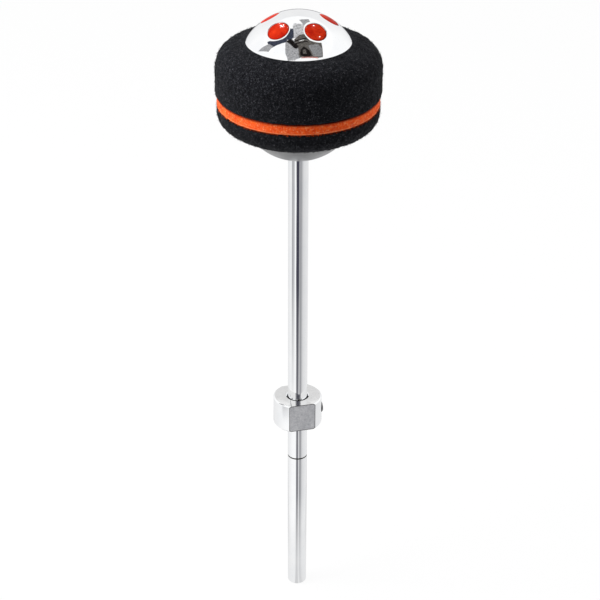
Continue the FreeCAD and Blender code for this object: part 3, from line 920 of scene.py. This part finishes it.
def make_set_screw():
    """A socket set screw along X, with a cup point at the shaft."""
    low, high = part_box("collar_set_screw")
    radius = (high.z - low.z) / 2
    length = high.x - low.x
    outline = [
        (SCREW_CUP, SCREW_CUP),
        (SCREW_TIP_RADIUS, 0.0),
        (radius, SCREW_TIP_LENGTH),
        (radius, length - SCREW_CHAMFER),
        (radius - SCREW_CHAMFER, length),
        (SOCKET_RIM, length),
    ]
    bm = turned(outline, SCREW_SIDES)
    mouth = [edge for edge in bm.edges if edge.is_boundary and edge.verts[0].co.z > length / 2]
    cup = [edge for edge in bm.edges if edge.is_boundary and edge not in mouth]
    bmesh.ops.contextual_create(bm, geom=cup)
    sink_socket(bm, mouth, length)
    place = Matrix.Translation((low.x, 0, (low.z + high.z) / 2)) @ Matrix.Rotation(pi / 2, 4, "Y")
    bmesh.ops.transform(bm, matrix=place, verts=bm.verts)
    face_outwards(bm)
    finish = dark_metal("black_oxide", (0.032, 0.032, 0.035))
    add_piece("socket_screw", bm, [finish], "set_screw", "collar_set_screw")


# Felt

def crowned_profile(radius, thickness, crown_share, roll):
    """A black ring's outline: out along its flat side, up the wall and over the crown."""
    overhang = radius - FELT_FLAT_RADIUS
    drop = thickness * crown_share
    across, up = cos(radians(roll)), sin(radians(roll))
    spread = across + up - 1
    shoulder = (drop * across - overhang * (1 - up)) / spread
    crown = (overhang * up - drop * (1 - across)) / spread
    ease = FELT_EDGE_ROUND
    points = [(FELT_BORE, 0.0)]
    points += arc(radius - ease, ease, ease, -90, 0, FELT_EDGE_STEPS)
    points += arc(radius - shoulder, thickness - drop, shoulder, 0, roll, SHOULDER_STEPS)
    points += arc(FELT_FLAT_RADIUS, thickness - crown, crown, roll, 90, FELT_CROWN_STEPS)[1:]
    return points + [(FELT_BORE, thickness)]


def flat_profile(radius, thickness):
    """The stripe's outline: both of its sides are flat."""
    ease = STRIPE_EDGE_ROUND
    points = [(FELT_BORE, 0.0)]
    points += arc(radius - ease, ease, ease, -90, 0, STRIPE_EDGE_STEPS)
    points += arc(radius - ease, thickness - ease, ease, 0, 90, STRIPE_EDGE_STEPS)
    return points + [(FELT_BORE, thickness)]


def standing(profile, base, up):
    """An outline at its height, upright or upside down. It runs upwards along the wall."""
    return [(radius, base + up * height) for radius, height in profile][::up]


def evened(points):
    """The same outline in steps of the felt's grain, coarser where it is hidden."""
    fine = [points[0]]
    for start, end in zip(points, points[1:]):
        parts = max(1, round(dist(start, end) / FELT_STEP))
        if FELT_BORE in (start[0], end[0]):
            parts = max(1, parts // HIDDEN_COARSENING)
        for part in range(1, parts + 1):
            share = part / parts
            fine.append(tuple(a + (b - a) * share for a, b in zip(start, end)))
    return fine


def roughen(bm, bare, sink):
    """Sink the felt's skin under its nap, in lumps and tufts, except inside the bare radius."""
    bm.normal_update()
    for vert in bm.verts:
        show = min(1.0, max(0.0, (vert.co.xy.length - bare) / LUMP_LENGTH))
        lump = noise.noise(vert.co / LUMP_LENGTH) * LUMP_HEIGHT
        tuft = noise.noise(vert.co / TUFT_LENGTH) * TUFT_HEIGHT
        vert.co += vert.normal * (lump + tuft - sink) * show


def pick_root(chance, runs, weights, pull):
    """A random place on the felt, the way out of the felt there, and the way out from the axis."""
    (radius, height), (end_radius, end_height) = chance.choices(runs, weights)[0]
    wide, tall = end_radius - radius, end_height - height
    along = chance.random()
    turn = chance.uniform(0, tau)
    turn += pull * noise.noise((turn * TUFT_RATE, 0.0, 0.0))
    outward = Vector((cos(turn), sin(turn), 0))
    slope = Vector((wide, tall)).normalized()
    place = outward * (radius + wide * along) + UP * (height + tall * along)
    return place, outward * slope.y - UP * slope.x, outward


def fibre_path(chance, point, normal, outward, length, fall):
    """Three points of a fibre that leaves the felt and bends over, and may fall downwards."""
    sideways = outward.cross(UP)
    lying = sideways * chance.uniform(-1, 1) + normal.cross(sideways) * chance.uniform(-1, 1)
    lying = (lying - UP * fall).normalized()
    rise = (lying + normal * chance.uniform(*FIBRE_LIFT)).normalized()
    bend = rise + lying * chance.uniform(*FIBRE_BEND) - normal * chance.uniform(*FIBRE_DROOP)
    middle = point + rise * length / 2
    return point, middle, middle + bend.normalized() * length / 2


def lay_out_fibres(mesh, count):
    """A UV map with a small square for each fibre."""
    layer = mesh.uv_layers.new(name="OFBake")
    rows = ceil(sqrt(count))
    faces_each = len(mesh.polygons) // count
    for face in mesh.polygons:
        row, column = divmod(face.index // faces_each, rows)
        for loop, (across, up) in zip(face.loop_indices, FIBRE_SQUARE):
            layer.data[loop].uv = ((column + across) / rows, (row + up) / rows)


def make_nap(name, profile, bare, sink, fibres, nap, fall=0.0, pull=0.0):
    """Loose fibres over the felt outside its bare radius, as one mesh with a slot for each colour."""
    count, lengths, shares = nap
    runs = [(a, b) for a, b in zip(profile, profile[1:]) if max(a[0], b[0]) > bare]
    weights = [dist(a, b) * (a[0] + b[0]) for a, b in runs]
    curve = bpy.data.curves.new(name, "CURVE")
    curve.dimensions = "3D"
    curve.bevel_depth = FIBRE_RADIUS
    curve.bevel_resolution = 0
    chance = random.Random(name)
    for _ in range(count):
        point, normal, outward = pick_root(chance, runs, weights, pull)
        root = point - normal * (sink + FIBRE_ROOT)
        path = fibre_path(chance, root, normal, outward, chance.uniform(*lengths), fall)
        spline = curve.splines.new("POLY")
        spline.points.add(len(path) - 1)
        for knot, place, thickness in zip(spline.points, path, FIBRE_TAPER):
            knot.co = (*place, 1.0)
            knot.radius = thickness
        spline.material_index = chance.choices(range(len(fibres)), shares)[0]
    for material in fibres:
        curve.materials.append(material)
    mesh = made_real(new_object(name, curve))
    lay_out_fibres(mesh, count)
    piece = new_object(name, mesh)
    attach(piece, "beater")


def make_felt(name, outline, node, finish, bare, sink, fibres, nap):
    """One felt ring and its nap."""
    bm = turned(evened(outline), FELT_SIDES, closed=True)
    roughen(bm, bare, sink)
    piece = add_piece(name, bm, [finish], "beater", node)
    make_nap(f"{name}_nap", outline, bare, sink, fibres, nap)


def make_black_felts():
    finish = pressed_felt("black_felt", *BLACK_FELT)
    fibres = [loose_fibre(*row) for row in BLACK_FIBRES]
    low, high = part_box("upper_felt")
    upper = crowned_profile(high.x, high.z - low.z, *UPPER_CROWN)
    make_felt("felt_upper", standing(upper, low.z, 1), "upper_felt", finish, DOME_RADIUS,
              UPPER_SINK, fibres, UPPER_NAP)
    low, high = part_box("lower_felt")
    lower = crowned_profile(high.x, high.z - low.z, *LOWER_CROWN)
    make_felt("felt_lower", standing(lower, high.z, -1), "lower_felt", finish, DOME_RADIUS,
              LOWER_SINK, fibres, LOWER_NAP)


def make_orange_felt():
    low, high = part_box("stripe_felt")
    # Painted shade under the black felt at the upper edge, and a painted highlight at the lower edge
    painted_bands = ((*EDGE_SHADE_PAINT, high.z - SHADE_BAND_WIDTH, high.z), (*EDGE_HIGHLIGHT_PAINT, low.z + HIGHLIGHT_BAND_WIDTH, low.z))
    finish = pressed_felt("orange_felt", *ORANGE_FELT, painted_bands)
    fibres = [loose_fibre(*row) for row in ORANGE_FIBRES]
    stripe = flat_profile(high.x, high.z - low.z)
    bare = high.x - STRIPE_EDGE_ROUND * 2
    make_felt("felt_stripe", standing(stripe, low.z, 1), "stripe_felt", finish, bare,
              STRIPE_SINK, fibres, STRIPE_NAP)
    edge = [(high.x, low.z + height) for height in FRINGE_HEIGHTS]
    make_nap("felt_stripe_fringe", edge, bare, STRIPE_SINK, fibres, FRINGE, FRINGE_FALL,
             TUFT_PULL)


# Inner pieces that keep their CAD shape

def dress_inner_pieces(red):
    zinc = zinc_steel()
    black = moulded_plastic("sleeve_plastic", (0.024, 0.024, 0.025), (0.036, 0.036, 0.037), 0.35, 0.4)
    finishes = {"lower_hub": red, "core_sleeve": black, "lower_clamp_washer": zinc,
                "upper_clamp_washer": zinc, "spring_washer": zinc, "clamp_nut": zinc}
    for node, finish in finishes.items():
        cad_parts[node].material_slots[0].material = finish


# Studio

def stage_material(name):
    """An empty node material for something in the studio."""
    material, tree, _ = new_material(name)
    tree.nodes.clear()
    return material, tree


def turn_from_front(place):
    """The direction of a place round the shaft, from 0 to 1."""
    swung = follow(place, "ShaderNodeVectorRotate", rotation_type="Z_AXIS")
    set_inputs(swung, Angle=-CAMERA_AZIMUTH)
    parts = parts_of(swung.outputs["Vector"])
    angle = maths("ARCTAN2", parts["X"], maths("MULTIPLY", parts["Y"], -1.0))
    return span(angle, 0.0, 1.0, -pi, pi)


def grey_ramp(source, stops):
    """A ramp through (position, tone) stops, its dark tones a little blue."""
    cooled = [(position, tone, tone, tone + DARK_BLUE * max(0.0, 1 - tone)) for position, tone in stops]
    return colour_ramp(source, *cooled)


def glow(tree, colour, kind="ShaderNodeEmission"):
    """A shader that shines in a colour."""
    return add_node(tree, kind, colour).outputs[0]


def by_ray(kinds, wanted, otherwise):
    """One shader for some kinds of rays, and another for the rest."""
    path = add_node(wanted.id_data, "ShaderNodeLightPath")
    share = path.outputs[kinds[0]]
    for kind in kinds[1:]:
        share = maths("MAXIMUM", share, path.outputs[kind])
    return follow(share, "ShaderNodeMixShader", otherwise, wanted).outputs[0]


def shadow_distance(place):
    """The distance from the middle of the head's shadow, which is long and narrow."""
    aligned = follow(place, "ShaderNodeMapping", vector_type="TEXTURE")
    set_inputs(aligned, Location=FRONT * -SHADOW_DISTANCE, Rotation=(0, 0, CAMERA_AZIMUTH),
               Scale=(1 / SHADOW_NARROWING, 1, 1))
    return length_of(aligned.outputs["Vector"])


def floor_tones(tree):
    """What metal sees on the floor, and the light that the floor throws back."""
    place = own_place(tree)
    waver = span(grain(place, WAVER_GRAIN), -WAVER, WAVER)
    turn = maths("ADD", turn_from_front(place), waver)
    distance = length_of(place)
    far = grey_ramp(turn, FLOOR_FAR)
    farness = span(distance, 0.0, 1.0, *FAR_REACH)
    mirrored = mixed("MIX", farness, grey_ramp(turn, FLOOR_NEAR), far)
    shade = span(shadow_distance(place), SHADOW_STRENGTH, 0.0, *SHADOW_REACH)
    mirrored = mixed("MULTIPLY", shade, mirrored, SHADOW_TONE)
    # A painted pool of light round the shaft's lower end, which metal sees on the floor
    foot_light = span(distance, FOOT_LIGHT_STRENGTH, 0.0, *FOOT_LIGHT_REACH)
    mirrored = mixed("MIX", foot_light, mirrored, WHITE)
    bounced = mixed("MIX", span(distance, 0.0, 1.0, *BOUNCE_REACH), BOUNCE_TONE, far)
    return mirrored, bounced


def studio_floor():
    """A pale floor. Metal sees the studio on it: white at the sides and dark to the front."""
    bm = bmesh.new()
    bmesh.ops.create_grid(bm, x_segments=1, y_segments=1, size=FLOOR_SIZE / 2,
                          matrix=Matrix.Translation((0, 0, -FLOOR_DROP)))
    floor = new_object("floor", mesh_of("floor", bm))
    material, tree = stage_material("floor")
    mirrored, bounced = floor_tones(tree)
    matt = add_node(tree, "ShaderNodeBsdfDiffuse", FLOOR_PALE).outputs[0]
    white = glow(tree, (*WHITE, 1.0))
    plain = add_node(tree, "ShaderNodeMixShader", FLOOR_GLOW_SHARE, matt, white).outputs[0]
    surface = by_ray(MIRROR_RAYS, glow(tree, mirrored), glow(tree, bounced))
    surface = by_ray(CAMERA_RAYS, plain, surface)
    add_node(tree, "ShaderNodeOutputMaterial", surface)
    floor.data.materials.append(material)


def studio_world():
    """A white tent, open and dim to the front, where the camera stands."""
    world = bpy.data.worlds.new("studio")
    bpy.context.scene.world = world
    world.use_nodes = True
    tree = world.node_tree
    tree.nodes.clear()
    direction = add_node(tree, "ShaderNodeTexCoord").outputs["Generated"]
    turn = turn_from_front(direction)
    height = parts_of(direction)["Z"]
    tent_roof = span(height, 0.0, 1.0, *TENT_ROOF)
    tent = mixed("MIX", tent_roof, grey_ramp(turn, TENT), TENT_ROOF_TONE)
    light_roof = span(height, 0.0, 1.0, *LIGHT_ROOF)
    light = mixed("MIX", light_roof, grey_ramp(turn, TENT_LIGHT), LIGHT_ROOF_TONE)
    background = "ShaderNodeBackground"
    surface = by_ray(MIRROR_RAYS, glow(tree, tent, background), glow(tree, light, background))
    surface = by_ray(CAMERA_RAYS, glow(tree, (*WHITE, 1.0), background), surface)
    add_node(tree, "ShaderNodeOutputWorld", surface)


def hang(name, level, corners, material):
    """Hang a flat piece over the head, out of the camera's sight."""
    bm = bmesh.new()
    for aside, forward in corners:
        bm.verts.new(HEAD + (RIGHT * aside + FRONT * forward + UP) * level)
    bmesh.ops.contextual_create(bm, geom=bm.verts)
    hung = new_object(name, mesh_of(name, bm))
    hung.data.materials.append(material)
    hung.visible_camera = False
    hung.visible_transmission = False
    hung.visible_shadow = False
    return hung


def hung_card(name, tone, level, *corners):
    """A card that metal reflects, with a cloudy tone."""
    material, tree = stage_material(name)
    cloud = grain(own_place(tree), CARD_GRAIN, 4.0, 0.7, 0.5)
    low, high = (tuple(part * share for part in tone) for share in CARD_CONTRAST)
    colour = colour_ramp(cloud, (0.35, *low), (0.65, *high))
    add_node(tree, "ShaderNodeOutputMaterial", glow(tree, colour))
    hang(name, level, corners, material)


def hung_lamp(lit, name, *corners):
    """A small lamp that gives gloss to the pieces in a collection. The others see through it."""
    material, tree = stage_material(name)
    bright = add_node(tree, "ShaderNodeEmission", (*WHITE, 1.0), LAMP_STRENGTH).outputs[0]
    clear = add_node(tree, "ShaderNodeBsdfTransparent").outputs[0]
    both = add_node(tree, "ShaderNodeAddShader", bright, clear).outputs[0]
    add_node(tree, "ShaderNodeOutputMaterial", both)
    lamp = hang(name, LAMP_LEVEL, corners, material)
    lamp.visible_diffuse = False
    lamp.light_linking.receiver_collection = lit


def soft_box(name, place, size, power):
    """A square area lamp that faces the head."""
    lamp = bpy.data.lights.new(name, "AREA")
    lamp.shape = "SQUARE"
    lamp.size = size
    lamp.energy = power
    box = new_object(name, lamp)
    box.location = place
    box.visible_glossy = False
    box.rotation_mode = "QUATERNION"
    box.rotation_quaternion = (HEAD - Vector(place)).to_track_quat("-Z", "Y")


def photo_camera():
    data = bpy.data.cameras.new("camera")
    data.sensor_width = SENSOR_WIDTH
    data.lens = LENS
    camera = new_object("camera", data)
    stand = Matrix.Translation((CAMERA_ASIDE, -CAMERA_DISTANCE, CAMERA_HEIGHT))
    tilt = Matrix.Rotation(pi / 2 - CAMERA_PITCH, 4, "X") @ Matrix.Rotation(CAMERA_ROLL, 4, "Z")
    camera.matrix_world = Matrix.Rotation(CAMERA_AZIMUTH, 4, "Z") @ stand @ tilt
    bpy.context.scene.camera = camera


red_plastic = moulded_plastic("red_plastic", (0.37, 0.01, 0.004), (0.57, 0.033, 0.008), 0.045, 0.005)
make_shaft()
make_plain_dome()
make_pierced_dome()
liner = make_liner(red_plastic)
make_collar()
make_set_screw()
make_black_felts()
make_orange_felt()
dress_inner_pieces(red_plastic)

studio_floor()
studio_world()
for box in SOFT_BOXES:
    soft_box(*box)
for card in CARDS:
    hung_card(*card)
lit_by_lamps = bpy.data.collections.new("lit_by_lamps")
lit_by_lamps.objects.link(liner)
for lamp in LAMPS:
    hung_lamp(lit_by_lamps, *lamp)
photo_camera()
bpy.context.scene.view_settings.view_transform = "Standard"
